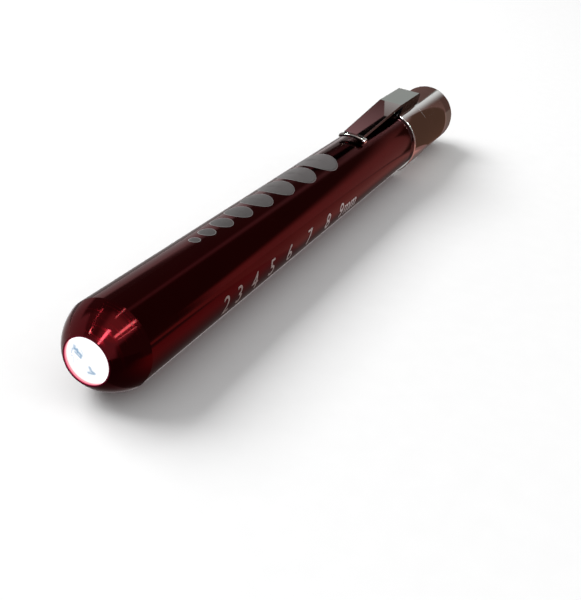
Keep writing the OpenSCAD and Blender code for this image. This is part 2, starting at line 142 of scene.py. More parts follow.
# On the dome some rings are duller, which breaks the streaks of light into fine steps.
spot = add(tree, "ShaderNodeSeparateXYZ", {0: place})
on_dome = add(tree, "ShaderNodeMapRange", {
    0: spot.outputs["X"], 1: nose_x - dome_len, 2: nose_x - dome_len + dome_blend, 3: 0.0, 4: groove_sheen,
})
groove = add(tree, "ShaderNodeMapRange", {0: rings, 1: groove_low, 2: groove_high, 3: 0.0, 4: 1.0})
dulled = add(tree, "ShaderNodeMath", {0: groove, 1: on_dome, 2: sheen}, operation="MULTIPLY_ADD")
tree.links.new(red.outputs[2], shader.inputs["Base Color"])
tree.links.new(dulled.outputs[0], shader.inputs["Roughness"])
tree.links.new(grain.outputs[0], shader.inputs["Normal"])
tree.links.new(turned.outputs[0], shader.inputs["Tangent"])

# Painted light: the glow that the lit lens throws on the wall of the opening is painted on as emission,
# pale next to the lens and crimson at the rim, and spilling a little way out over the rim.
depth = add(tree, "ShaderNodeMapRange", {
    0: spot.outputs["X"], 1: nose_x, 2: nose_x - lens_edge_s, 3: 0.0, 4: 1.0,
})
painted_glow_ramp = add(tree, "ShaderNodeValToRGB", {0: depth})
stops = painted_glow_ramp.color_ramp.elements
stops[0].color = linear("#7c1030")
stops[1].color = linear("#ffffff")
for share, code in ((0.2, "#dc5474"), (0.42, "#ffb4be"), (0.58, "#ff8ea0"), (0.74, "#fff2f0")):
    stops.new(share).color = linear(code)
off_x = add(tree, "ShaderNodeCombineXYZ", {"Y": spot.outputs["Y"], "Z": spot.outputs["Z"]})
from_axis = add(tree, "ShaderNodeVectorMath", {0: off_x}, operation="LENGTH").outputs["Value"]
on_wall = add(tree, "ShaderNodeMath", {0: from_axis, 1: window_r + wall_slack}, operation="LESS_THAN")
spill = add(tree, "ShaderNodeMapRange", {
    0: from_axis, 1: window_r, 2: window_r + spill_w, 3: painted_spill_level, 4: 0.0,
}, interpolation_type="SMOOTHSTEP")
in_front = add(tree, "ShaderNodeMath", {0: depth, 1: rim_share}, operation="LESS_THAN")
on_rim = add(tree, "ShaderNodeMath", {0: spill, 1: in_front}, operation="MULTIPLY")
painted_glow_strength = add(tree, "ShaderNodeMath", {0: on_wall, 1: on_rim}, operation="MAXIMUM")
tree.links.new(painted_glow_ramp.outputs[0], shader.inputs["Emission Color"])
tree.links.new(painted_glow_strength.outputs[0], shader.inputs["Emission Strength"])
dress(anodised, "barrel")

# Pupil gauge: eight discs from 2 to 9 mm across, in a row along the top of the barrel ahead of the clip.
# They are etched through the dye, so the bare oxide shows as a flat grey, all but flush with the barrel.
gauge_count = 8
gauge_first_d = 2 * mm
gauge_step = 1 * mm
gauge_gap = 1.35 * mm
gauge_first_s = 28.6 * mm
gauge_last = gauge_count - 1
gauge_last_s = gauge_first_s + gauge_last * (gauge_first_d + gauge_gap) + gauge_last ** 2 / 2 * gauge_step
gauge_turn = math.radians(-7.4)
etch_proud = 0.015 * mm
etch_t = 0.03 * mm
etch_r = barrel_r + etch_proud
etch_grit = 0.3 * mm
grit_depth = 0.01 * mm
pale_share = 0.7
# Width of the painted rim highlight: full up to the first distance, gone by the second.
rim_highlight_full, rim_highlight_gone = 0.05 * mm, 0.16 * mm
disc_sides = 72
disc_cuts = 3


def start_tree(name, **sizes):
    """A new geometry tree with named inputs; returns the tree and its inputs by name."""
    made = bpy.data.node_groups.new(name, "GeometryNodeTree")
    for key, kind in sizes.items():
        made.interface.new_socket(key.replace("_", " "), in_out="INPUT", socket_type="NodeSocket" + kind)
    made.interface.new_socket("Geometry", in_out="OUTPUT", socket_type="NodeSocketGeometry")
    sockets = add(made, "NodeGroupInput").outputs
    return made, {key: sockets[key.replace("_", " ")] for key in sizes}


def end_tree(tree, geometry, finish):
    """Close a tree with real geometry and its finish."""
    real = add(tree, "GeometryNodeRealizeInstances", {0: geometry})
    done = add(tree, "GeometryNodeSetMaterial", {"Geometry": real, "Material": finish})
    add(tree, "NodeGroupOutput", {0: done})


def grow(name, tree, **sizes):
    """Run a tree once with its sizes and keep the result as a plain mesh."""
    piece = bpy.data.objects.new(name, bpy.data.meshes.new(name))
    bpy.context.scene.collection.objects.link(piece)
    maker = piece.modifiers.new("maker", "NODES")
    maker.node_group = tree
    for item in tree.interface.items_tree:
        if item.in_out == "INPUT":
            maker[item.identifier] = sizes[item.name.replace(" ", "_")]
    grown = piece.evaluated_get(bpy.context.evaluated_depsgraph_get())
    mesh = bpy.data.meshes.new_from_object(grown)
    piece.modifiers.remove(maker)
    piece.data = mesh
    mesh.name = name
    return piece


def etch_tone(tree, place, dark, light):
    """Fine grit over a tone that pales from the gauge's first disc to its last; returns tone and grit."""
    grit = add(tree, "ShaderNodeTexNoise", {"Vector": place, "Scale": 1 / etch_grit, "Detail": 3.0})
    spot = add(tree, "ShaderNodeSeparateXYZ", {0: place})
    pale = add(tree, "ShaderNodeMapRange", {
        0: spot.outputs["X"], 1: nose_x - gauge_first_s, 2: nose_x - gauge_last_s, 3: 0.0, 4: pale_share,
    })
    share = add(tree, "ShaderNodeMath", {0: grit, 1: 1 - pale_share, 2: pale}, operation="MULTIPLY_ADD")
    tone = add(tree, "ShaderNodeMix", {0: share, 6: linear(dark), 7: linear(light)}, data_type="RGBA")
    return tone.outputs[2], grit


# Etched oxide: matt grey that scatters, with a painted highlight, a slightly brighter line where the etch
# stops at the dye.
etched, tree, shader, place = start_finish("etched_oxide", Roughness=0.5, Specular_IOR_Level=0.25)
rim = add(tree, "ShaderNodeAttribute", attribute_name="edge")
painted_rim_highlight = add(tree, "ShaderNodeMapRange", {0: rim.outputs["Fac"], 1: rim_highlight_full, 2: rim_highlight_gone, 3: 1.0, 4: 0.0})
tone, grit = etch_tone(tree, place, "#3c3a3a", "#656363")
highlighted_tone = add(tree, "ShaderNodeMix", {0: painted_rim_highlight, 6: tone, 7: linear("#8f8c8c")}, data_type="RGBA")
gritty = add(tree, "ShaderNodeBump", {"Strength": 0.1, "Distance": grit_depth, "Height": grit})
tree.links.new(highlighted_tone.outputs[2], shader.inputs["Base Color"])
tree.links.new(gritty.outputs[0], shader.inputs["Normal"])

# The discs stand in a row, each a step wider than the one before, with the same gap between neighbours.
tree, size = start_tree(
    "gauge row", Count="Int", First_Diameter="Float", Step="Float", Gap="Float", First_Place="Float",
    Nose="Float", Radius="Float", Turn="Float",
)
row = add(tree, "GeometryNodeMeshLine", {"Count": size["Count"], "Offset": (0, 0, 0)})
i = add(tree, "GeometryNodeInputIndex")
grown_by = add(tree, "ShaderNodeMath", {0: i, 1: size["Step"]}, operation="MULTIPLY")
wide = add(tree, "ShaderNodeMath", {0: grown_by, 1: size["First_Diameter"]}, operation="ADD")
disc_r = add(tree, "ShaderNodeMath", {0: wide, 1: 0.5}, operation="MULTIPLY")
spaced = add(tree, "ShaderNodeMath", {0: size["First_Diameter"], 1: size["Gap"]}, operation="ADD")
even = add(tree, "ShaderNodeMath", {0: i, 1: spaced, 2: size["First_Place"]}, operation="MULTIPLY_ADD")
half_i = add(tree, "ShaderNodeMath", {0: i, 1: 0.5}, operation="MULTIPLY")
from_nose = add(tree, "ShaderNodeMath", {0: half_i, 1: grown_by, 2: even}, operation="MULTIPLY_ADD")
middle = add(tree, "ShaderNodeCombineXYZ", {"X": from_nose})
set_out = add(tree, "GeometryNodeSetPosition", {"Geometry": row, "Position": middle})
sized = add(tree, "GeometryNodeStoreNamedAttribute", {
    "Geometry": set_out, "Name": "disc_r", "Value": disc_r,
}, data_type="FLOAT", domain="POINT")

# Each point keeps its distance from the disc's rim, which the finish draws its painted rim highlight by.
fan = add(tree, "GeometryNodeMeshCircle", {"Vertices": disc_sides, "Radius": 1.0}, fill_type="TRIANGLE_FAN")
fine = add(tree, "GeometryNodeSubdivideMesh", {"Mesh": fan, "Level": disc_cuts})
point = add(tree, "GeometryNodeInputPosition")
from_mid = add(tree, "ShaderNodeVectorMath", {0: point}, operation="LENGTH")
to_rim = add(tree, "ShaderNodeMath", {0: 1.0, 1: from_mid.outputs["Value"]}, operation="SUBTRACT")
marked = add(tree, "GeometryNodeStoreNamedAttribute", {
    "Geometry": fine, "Name": "edge", "Value": to_rim,
}, data_type="FLOAT", domain="POINT")
spread = add(tree, "ShaderNodeCombineXYZ", {"X": disc_r, "Y": disc_r, "Z": 1.0})
discs = add(tree, "GeometryNodeInstanceOnPoints", {"Points": sized, "Instance": marked, "Scale": spread})
flat = add(tree, "GeometryNodeRealizeInstances", {0: discs})
edge_share = add(tree, "GeometryNodeInputNamedAttribute", {"Name": "edge"}, data_type="FLOAT")
own_r = add(tree, "GeometryNodeInputNamedAttribute", {"Name": "disc_r"}, data_type="FLOAT")
edge_w = add(tree, "ShaderNodeMath", {0: edge_share, 1: own_r}, operation="MULTIPLY")
lined = add(tree, "GeometryNodeStoreNamedAttribute", {
    "Geometry": flat, "Name": "edge", "Value": edge_w,
}, data_type="FLOAT", domain="POINT")

# The flat row is wrapped round the barrel.
parts = add(tree, "ShaderNodeSeparateXYZ", {0: point})
round_by = add(tree, "ShaderNodeMath", {0: parts.outputs["Y"], 1: size["Radius"]}, operation="DIVIDE")
angle = add(tree, "ShaderNodeMath", {0: size["Turn"], 1: round_by}, operation="SUBTRACT")
sine = add(tree, "ShaderNodeMath", {0: angle}, operation="SINE")
cosine = add(tree, "ShaderNodeMath", {0: angle}, operation="COSINE")
x = add(tree, "ShaderNodeMath", {0: size["Nose"], 1: parts.outputs["X"]}, operation="SUBTRACT")
y = add(tree, "ShaderNodeMath", {0: sine, 1: size["Radius"]}, operation="MULTIPLY")
z = add(tree, "ShaderNodeMath", {0: cosine, 1: size["Radius"]}, operation="MULTIPLY")
wrapped = add(tree, "ShaderNodeCombineXYZ", {"X": x, "Y": y, "Z": z})
laid = add(tree, "GeometryNodeSetPosition", {"Geometry": lined, "Position": wrapped})
smooth = add(tree, "GeometryNodeSetShadeSmooth", {"Geometry": laid})
end_tree(tree, smooth, etched)
gauge = grow(
    "gauge_discs", tree, Count=gauge_count, First_Diameter=gauge_first_d, Step=gauge_step, Gap=gauge_gap,
    First_Place=gauge_first_s, Nose=nose_x, Radius=etch_r, Turn=gauge_turn,
)
gauge.modifiers.new("etch", "SOLIDIFY").thickness = etch_t
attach(gauge, "barrel")

# Figures of the gauge: plain upright numerals, one below each disc, with the unit after the last.
# They are etched in the same pass, in a line a quarter of the way round from the clip.
figure_h = 3.3 * mm
height_share = 0.73
figure_turn = math.radians(81)
figure_slice = 0.3 * mm
weld = 0.001 * mm
sliver = 0.004 * mm
figure_places = {
    "2": 26.2, "3": 30.5, "4": 36.0, "5": 42.4, "6": 49.5, "7": 58.0, "8": 67.0, "9": 73.8, "mm": 78.8,
}

# Etched oxide in narrow strokes: painted paler than the discs, a painted highlight standing in for light
# catching the strokes' edges.
etch_with_painted_highlight, tree, shader, place = start_finish("etched_oxide_figures", Roughness=0.5, Specular_IOR_Level=0.25)
tone = etch_tone(tree, place, "#86746e", "#c2bdbd")[0]
tree.links.new(tone, shader.inputs["Base Color"])


def wrap_figure(text, middle_s):
    """One figure as a mesh laid round the barrel, tops towards the clip."""
    letter = bpy.data.curves.new("figure", "FONT")
    letter.body = text
    letter.size = figure_h / height_share
    letter.align_x = "CENTER"
    holder = bpy.data.objects.new("figure", letter)
    bpy.context.scene.collection.objects.link(holder)
    flat = bpy.data.meshes.new_from_object(holder.evaluated_get(bpy.context.evaluated_depsgraph_get()))
    bpy.data.objects.remove(holder)
    shape = bmesh.new()
    shape.from_mesh(flat)
    bmesh.ops.remove_doubles(shape, verts=shape.verts, dist=weld)
    top = max(v.co.y for v in shape.verts)
    for k in range(1, int(figure_h / figure_slice) + 1):
        whole = shape.verts[:] + shape.edges[:] + shape.faces[:]
        bmesh.ops.bisect_plane(shape, geom=whole, plane_co=(0, top - k * figure_slice, 0), plane_no=(0, 1, 0))
    for v in shape.verts:
        angle = figure_turn + (figure_h - v.co.y) / barrel_r
        v.co = Vector((nose_x - middle_s - v.co.x, etch_r * math.sin(angle), etch_r * math.cos(angle)))
    shape.to_mesh(flat)
    shape.free()
    return flat


joined = bmesh.new()
for text, middle in figure_places.items():
    joined.from_mesh(wrap_figure(text, middle * mm))
bmesh.ops.triangulate(joined, faces=joined.faces)
bmesh.ops.dissolve_degenerate(joined, edges=joined.edges, dist=sliver)
mesh = bpy.data.meshes.new("gauge_figures")
joined.to_mesh(mesh)
joined.free()
mesh.materials.append(etch_with_painted_highlight)
figures = bpy.data.objects.new("gauge_figures", mesh)
bpy.context.scene.collection.objects.link(figures)
figures.modifiers.new("etch", "SOLIDIFY").thickness = etch_t
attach(figures, "barrel")

# Front lens: a clear acrylic plug with a crowned face, pressed against the ledge inside the nose.
# The lamp behind it is on; its light is painted on the face as an even white glow, with two faint painted
# marks where the lamp shows through.
mark_wave = 0.5 * mm
mark_sway = 0.12 * mm
stroke_core, stroke_reach = 0.3, 1.9
# The painted marks dim the painted glow to this blue-grey.
shade_level = 0.75
shade = [c * shade_level for c in linear("#8fb2d2")[:3]] + [1.0]
# Strokes of the painted marks on the glowing face in millimetres across and up: both ends, half width and
# darkness.
painted_lamp_marks = (
    ((-2.3, 1.2), (-2.3, 0.9), 0.25, 0.75), ((-2.3, 0.9), (-1.8, 0.8), 0.21, 1.0),
    ((-1.8, 0.9), (-1.7, 0.5), 0.2, 1.0), ((-1.8, 0.7), (-1.1, 0.3), 0.2, 0.95),
    ((-1.1, 0.3), (-1.2, -0.1), 0.18, 0.9), ((-1.2, -0.1), (-2.1, 0.4), 0.18, 0.8),
    ((-2.1, 1.0), (-2.6, 0.7), 0.16, 0.7), ((-2.6, 0.7), (-2.8, 0.0), 0.12, 0.55),
    ((-2.9, -0.5), (-2.6, -0.3), 0.12, 0.4), ((-2.6, -0.3), (-2.3, -0.8), 0.12, 0.4),
    ((-2.3, -0.8), (-2.5, -1.5), 0.12, 0.35), ((-1.2, 1.1), (-0.8, 0.6), 0.11, 0.45),
    ((-1.8, -0.6), (-1.7, -0.6), 0.12, 0.4), ((0.3, -1.1), (0.6, -1.6), 0.21, 0.8),
    ((0.6, -1.6), (1.0, -1.8), 0.2, 0.9), ((0.9, -1.9), (0.1, -2.0), 0.18, 0.85),
    ((0.4, -1.7), (0.6, -1.7), 0.21, 0.55), ((-0.3, -2.4), (0.7, -2.4), 0.1, 0.3),
    ((-0.4, -2.9), (0.4, -2.9), 0.1, 0.35),
)

# Clear acrylic with the light from behind painted on: an even white glow with a polished skin, and soft
# blue-grey strokes of painted shade in it.
acrylic, tree, shader, place = start_finish(
    "lit_clear_acrylic", Base_Color=linear("#2c3136"), Roughness=0.06, IOR=1.49, Emission_Strength=1.15,
)
parts = add(tree, "ShaderNodeSeparateXYZ", {0: place})
face = add(tree, "ShaderNodeCombineXYZ", {"X": parts.outputs["Y"], "Y": parts.outputs["Z"]})
wander = add(tree, "ShaderNodeTexNoise", {"Vector": place, "Scale": 1 / mark_wave, "Detail": 2.0})
sway = add(tree, "ShaderNodeVectorMath", {0: wander.outputs["Color"], 1: [0.5] * 3}, operation="SUBTRACT")
swayed = add(tree, "ShaderNodeVectorMath", {0: sway, 1: [mark_sway] * 3, 2: face}, operation="MULTIPLY_ADD")
marked = 0.0
for (y0, z0), (y1, z1), half_w, darkness in painted_lamp_marks:
    start = Vector((y0, z0, 0)) * mm
    run = Vector((y1, z1, 0)) * mm - start
    off = add(tree, "ShaderNodeVectorMath", {0: swayed, 1: start}, operation="SUBTRACT")
    share = add(tree, "ShaderNodeVectorMath", {0: off, 1: run / run.length_squared}, operation="DOT_PRODUCT")
    held = add(tree, "ShaderNodeClamp", {0: share.outputs["Value"]})
    near = add(tree, "ShaderNodeVectorMath", {0: run, "Scale": held}, operation="SCALE")
    far = add(tree, "ShaderNodeVectorMath", {0: off, 1: near}, operation="DISTANCE")
    stroke = add(tree, "ShaderNodeMapRange", {
        0: far.outputs["Value"], 1: stroke_core * half_w * mm, 2: stroke_reach * half_w * mm,
        3: darkness, 4: 0.0,
    })
    marked = add(tree, "ShaderNodeMath", {0: marked, 1: stroke}, operation="MAXIMUM")
painted_glow_colour = add(tree, "ShaderNodeMix", {0: marked, 6: linear("#ffffff"), 7: shade}, data_type="RGBA")
tree.links.new(painted_glow_colour.outputs[2], shader.inputs["Emission Color"])
dress(acrylic, "front_lens")

# Reflector: a moulded cup behind the lens, vacuum plated so that its cone throws the lamp's light forward.
# Vacuum-plated plastic: a bright mirror whose gloss follows the moulding's faint ripple.
ripple_w = 0.8 * mm
plated, tree, shader, place = start_finish(
    "vacuum_plated_plastic", Base_Color=linear("#d9dcdf"), Metallic=1.0,
)
ripple = add(tree, "ShaderNodeTexNoise", {"Vector": place, "Scale": 1 / ripple_w, "Detail": 2.0})
gloss = add(tree, "ShaderNodeMapRange", {0: ripple, 1: noise_low, 2: noise_high, 3: 0.05, 4: 0.14})
tree.links.new(gloss.outputs[0], shader.inputs["Roughness"])
dress(plated, "reflector")

# Lamp: a 5 mm light-emitting diode, its die on a steel anvil cast into clear epoxy.
# The leads are tinned and go back through the holder to the board.
haze_patch = 0.6 * mm
phosphor_grain = 0.06 * mm


def mottled(name, dark, light, patch, **sockets):
    """A finish whose colour wavers between two tones in patches of a real size."""
    made, tree, shader, place = start_finish(name, **sockets)
    noise = add(tree, "ShaderNodeTexNoise", {"Vector": place, "Scale": 1 / patch})
    tone = add(tree, "ShaderNodeMix", {0: noise, 6: linear(dark), 7: linear(light)}, data_type="RGBA")
    tree.links.new(tone.outputs[2], shader.inputs["Base Color"])
    return made


# Cast epoxy: water clear, with a slight haze where it set.
epoxy, tree, shader, place = start_finish("cast_clear_epoxy", IOR=1.54, Transmission_Weight=1.0)
cast = add(tree, "ShaderNodeTexNoise", {"Vector": place, "Scale": 1 / haze_patch})
haze = add(tree, "ShaderNodeMapRange", {0: cast, 1: noise_low, 2: noise_high, 3: 0.02, 4: 0.08})
tree.links.new(haze.outputs[0], shader.inputs["Roughness"])
dress(epoxy, "led_body")

# Tinned steel: a soft silver sheen, uneven where the tin ran.
tinned = mottled("tinned_steel", "#b3b6b9", "#cfd1d3", patch=0.4 * mm, Metallic=1.0, Roughness=0.3)
dress(tinned, "led_leads")

# Phosphor: a matt yellow paste of fine grains that glows warm white.
phosphor, tree, shader, place = start_finish(
    "lamp_phosphor", Roughness=0.8, Emission_Color=linear("#fff8e6"), Emission_Strength=3.0,
)
grains = add(tree, "ShaderNodeTexVoronoi", {"Vector": place, "Scale": 1 / phosphor_grain})
yellow = add(tree, "ShaderNodeMix", {0: grains, 6: linear("#f6e9a8"), 7: linear("#f2dc6e")}, data_type="RGBA")
tree.links.new(yellow.outputs[2], shader.inputs["Base Color"])
dress(phosphor, "led_die")

# Lamp holder and board: a white nylon bush presses the lamp home, with a round board behind it.
# The board carries one chip resistor and a pressed brass contact for the front cell.
weave_w = 0.5 * mm

# Moulded nylon: a warm white with faint flow marks and a satin skin.
nylon = mottled("moulded_nylon", "#e4e1d9", "#efede6", patch=1.5 * mm, Roughness=0.5)
dress(nylon, "led_holder")

# Glass laminate under solder mask: glossy green with the weave just showing.
laminate, tree, shader, place = start_finish("masked_glass_laminate", Roughness=0.35)
weave = add(tree, "ShaderNodeTexVoronoi", {"Vector": place, "Scale": 1 / weave_w})
mask = add(tree, "ShaderNodeMix", {0: weave, 6: linear("#1b5c3b"), 7: linear("#247a50")}, data_type="RGBA")
tree.links.new(mask.outputs[2], shader.inputs["Base Color"])
dress(laminate, "led_board")

# Glazed ceramic: a black, glassy chip with a fine speckle.
glaze = mottled("glazed_ceramic", "#17181a", "#2b2d30", patch=0.2 * mm, Roughness=0.2)
dress(glaze, "board_resistor")

# Contacts and rings of the current path: the board's contact, the spring's plate, the switch's rivet
# and the screwed ring, pressed or turned from brass and left bare.
# Bare brass: yellow, dulled in soft patches where it tarnishes.
tarnish_patch = 1.2 * mm
brass, tree, shader, place = start_finish("bare_brass", Metallic=1.0)
tarnish = add(tree, "ShaderNodeTexNoise", {"Vector": place, "Scale": 1 / tarnish_patch, "Detail": 4.0})
golden = add(tree, "ShaderNodeMix", {
    0: tarnish, 6: linear("#a8842f"), 7: linear("#d8b968"),
}, data_type="RGBA")
wear = add(tree, "ShaderNodeMapRange", {0: tarnish, 1: noise_low, 2: noise_high, 3: 0.38, 4: 0.2})
tree.links.new(golden.outputs[2], shader.inputs["Base Color"])
tree.links.new(wear.outputs[0], shader.inputs["Roughness"])
dress(brass, "front_contact", "spring_plate", "switch_contact", "retaining_ring")

# Cells: two AAA cells in line, drawn steel cans in plain film jackets, pressed forward by a wire spring.
# The jackets are shrunk on and carry one pale band at the positive end and nothing else.
band_len = 7 * mm

# Nickel-plated steel: a cool silver with a satin drawn surface.
nickel = mottled("nickel_plated_steel", "#aeb0b3", "#c6c8ca", patch=0.7 * mm, Metallic=1.0, Roughness=0.28)
dress(nickel, "front_cell", "rear_cell", "battery_spring")

# Printed film: smooth and glossy, slate blue with the pale band.
for name in ("front_cell_jacket", "rear_cell_jacket"):
    film, tree, shader, place = start_finish("printed_film_" + name.split("_")[0], Roughness=0.3)
    band_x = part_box(name)[1].x - band_len
    parts = add(tree, "ShaderNodeSeparateXYZ", {0: place})
    in_band = add(tree, "ShaderNodeMath", {0: parts.outputs["X"], 1: band_x}, operation="GREATER_THAN")
    ink = add(tree, "ShaderNodeMix", {
        0: in_band, 6: linear("#2c3a46"), 7: linear("#9aa3ab"),
    }, data_type="RGBA")
    tree.links.new(ink.outputs[2], shader.inputs["Base Color"])
    dress(film, name)

# Switch: a black moulded housing and cover with a natural nylon plunger, dropped into the cap as one unit.
# Black nylon: nearly matt, with the fine even grain that moulding leaves.
black_nylon = mottled("moulded_black_nylon", "#141416", "#1f2022", patch=0.4 * mm, Roughness=0.55)
dress(black_nylon, "switch_housing", "switch_cover")
dress(nylon, "switch_plunger")

# Return spring: plated wire wound in even turns, held between the housing's floor and the plunger's collar.
# It shortens as the button goes in, so this coil stands for the fixed one and closes up towards its seat.
coil_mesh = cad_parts["return_spring"].data.copy()
welded = bmesh.new()
welded.from_mesh(coil_mesh)
bmesh.ops.remove_doubles(welded, verts=welded.verts, dist=weld)
welded.to_mesh(coil_mesh)
welded.free()
coil_mesh.materials.clear()
coil_mesh.materials.append(nickel)
coil = bpy.data.objects.new("return_coil", coil_mesh)
bpy.context.scene.collection.objects.link(coil)
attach(coil, "tail_cap")
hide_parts("return_spring")
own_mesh(coil)

# Tail cap: turned from brass, polished and chromed, screwed into the barrel behind the clip's collar.
# Its end is bored for the push button, which is chromed in the same bath.
mark_len = 2.5 * mm
mark_low, mark_high = 0.35, 0.7
worn_edge_r = 0.12 * mm
edge_rays = 8

# Bright chrome: a neutral mirror that takes its tones from round about, with faint handling marks.
chrome, tree, shader, place = start_finish("polished_chrome_plate", Metallic=1.0)
marks = add(tree, "ShaderNodeTexNoise", {
    "Vector": place, "Scale": 1 / mark_len, "Detail": 5.0, "Roughness": 0.6,
})
gloss = add(tree, "ShaderNodeMapRange", {0: marks, 1: mark_low, 2: mark_high, 3: 0.04, 4: 0.13})
silver = add(tree, "ShaderNodeMix", {0: marks, 6: linear("#b9bab8"), 7: linear("#c4c5c2")}, data_type="RGBA")
soft_edge = add(tree, "ShaderNodeBevel", {"Radius": worn_edge_r}, samples=edge_rays)
tree.links.new(silver.outputs[2], shader.inputs["Base Color"])
tree.links.new(gloss.outputs[0], shader.inputs["Roughness"])
tree.links.new(soft_edge.outputs[0], shader.inputs["Normal"])
dress(chrome, "tail_cap", "push_button")

# Pocket clip: one strip of spring steel, sheared, folded and curled at the lip, then chromed.
# Its collar is held between the barrel's end and the cap, and the arm springs against the barrel.
# Shares of facing over which faces count as edges with the painted dark reflection, and how much duller they
# are.
cut_low, cut_high = 0.8, 0.92
cut_dullness = 0.22
# Heights above the axis between which the painted dark reflection of the edges sets in, clear of the collar's
# round sides.
edge_low, edge_high = 7.35 * mm, 7.5 * mm

# Chromed sheet: the same mirror on the flats; faces looking sideways or forward, the sheared edges and the
# channel's walls, get a painted dark reflection and a duller gloss.
chromed_sheet, tree, shader, place = start_finish("chromed_spring_sheet", Metallic=1.0)
marks = add(tree, "ShaderNodeTexNoise", {"Vector": place, "Scale": 1 / mark_len, "Detail": 4.0})
gloss = add(tree, "ShaderNodeMapRange", {0: marks, 1: mark_low, 2: mark_high, 3: 0.02, 4: 0.06})
facing = add(tree, "ShaderNodeSeparateXYZ", {0: add(tree, "ShaderNodeTexCoord").outputs["Normal"]})
side = add(tree, "ShaderNodeMath", {0: facing.outputs["Y"]}, operation="ABSOLUTE")
end = add(tree, "ShaderNodeMath", {0: side, 1: facing.outputs["X"]}, operation="MAXIMUM")
cut = add(tree, "ShaderNodeMapRange", {0: end, 1: cut_low, 2: cut_high, 3: 0.0, 4: 1.0})
parts = add(tree, "ShaderNodeSeparateXYZ", {0: place})
above = add(tree, "ShaderNodeMapRange", {0: parts.outputs["Z"], 1: edge_low, 2: edge_high, 3: 0.0, 4: 1.0})
painted_dark_edges = add(tree, "ShaderNodeMath", {0: cut, 1: above}, operation="MULTIPLY")
# Painted dark reflection: the edge faces take a near-black colour.
silver = add(tree, "ShaderNodeMix", {
    0: painted_dark_edges, 6: linear("#bebfbd"), 7: linear("#2c2b2d"),
}, data_type="RGBA")
dull = add(tree, "ShaderNodeMath", {0: painted_dark_edges, 1: cut_dullness, 2: gloss}, operation="MULTIPLY_ADD")
soft_edge = add(tree, "ShaderNodeBevel", {"Radius": worn_edge_r}, samples=edge_rays)
tree.links.new(silver.outputs[2], shader.inputs["Base Color"])
tree.links.new(dull.outputs[0], shader.inputs["Roughness"])
tree.links.new(soft_edge.outputs[0], shader.inputs["Normal"])
dress(chromed_sheet, "pocket_clip")

# Tail thread: a right-hand ridge of 1 mm pitch, cut on the cap's spigot and fading out at both ends.
# The barrel or the collar covers it at every pose.
thread_turns = 10
thread_pitch = 1 * mm
thread_root_r = 5.5 * mm
thread_crest_r = 5.93 * mm
thread_lead = 0.6 * mm
thread_start_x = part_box("tail_cap")[1].x - thread_lead
turn_steps = 64
foot_share, crest_share = 0.42, 0.1
run_out, run_out_scale = 0.06, 0.02
tree, size = start_tree("thread", Turns="Float", Pitch="Float", Root="Float", Depth="Float", Start="Float")
rise = add(tree, "ShaderNodeMath", {0: size["Turns"], 1: size["Pitch"]}, operation="MULTIPLY")
helix = add(tree, "GeometryNodeCurveSpiral", {
    "Resolution": turn_steps, "Rotations": size["Turns"], "Start Radius": size["Root"],
    "End Radius": size["Root"], "Height": rise,
})
upright = add(tree, "GeometryNodeSetCurveNormal", {"Curve": helix}, mode="Z_UP")
run = add(tree, "GeometryNodeSplineParameter")
off_mid = add(tree, "ShaderNodeMath", {0: run, 1: 0.5}, operation="SUBTRACT")
from_mid = add(tree, "ShaderNodeMath", {0: off_mid}, operation="ABSOLUTE")
fade = add(tree, "ShaderNodeMapRange", {0: from_mid, 1: 0.5 - run_out, 2: 0.5, 3: 1.0, 4: run_out_scale})
faded = add(tree, "GeometryNodeSetCurveRadius", {"Curve": upright, "Radius": fade})

# The ridge's section: a wide foot on the root and a narrow crest.
foot = add(tree, "ShaderNodeMath", {0: size["Pitch"], 1: foot_share}, operation="MULTIPLY")
foot_back = add(tree, "ShaderNodeMath", {0: foot, 1: -1.0}, operation="MULTIPLY")
crest = add(tree, "ShaderNodeMath", {0: size["Pitch"], 1: crest_share}, operation="MULTIPLY")
crest_back = add(tree, "ShaderNodeMath", {0: crest, 1: -1.0}, operation="MULTIPLY")
outward = add(tree, "ShaderNodeMath", {0: size["Depth"], 1: -1.0}, operation="MULTIPLY")
vee = add(tree, "GeometryNodeCurvePrimitiveQuadrilateral", {
    "Point 1": add(tree, "ShaderNodeCombineXYZ", {"Y": foot}),
    "Point 2": add(tree, "ShaderNodeCombineXYZ", {"X": outward, "Y": crest}),
    "Point 3": add(tree, "ShaderNodeCombineXYZ", {"X": outward, "Y": crest_back}),
    "Point 4": add(tree, "ShaderNodeCombineXYZ", {"Y": foot_back}),
}, mode="POINTS")
ridge = add(tree, "GeometryNodeCurveToMesh", {"Curve": faded, "Profile Curve": vee, "Fill Caps": True})
begin = add(tree, "ShaderNodeCombineXYZ", {"X": size["Start"]})
along_axis = add(tree, "GeometryNodeTransform", {
    "Geometry": ridge, "Translation": begin, "Rotation": (0, math.radians(-90), 0),
})
end_tree(tree, along_axis, chrome)
thread = grow(
    "cap_thread", tree, Turns=thread_turns, Pitch=thread_pitch, Root=thread_root_r,
    Depth=thread_crest_r - thread_root_r, Start=thread_start_x,
)
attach(thread, "tail_cap")

# Floor and light: a plain white sheet under an even sky, with one broad soft key high on the left.
# Cards that only polished surfaces see stand round about, as in a maker's light tent.
scene = bpy.context.scene
floor_gap = 0.01 * mm
floor_z = cad_box[0].z - floor_gap
floor_half = 2.0
shadow_reach, white_reach = 0.3, 0.9
paper_tooth = 4 * mm


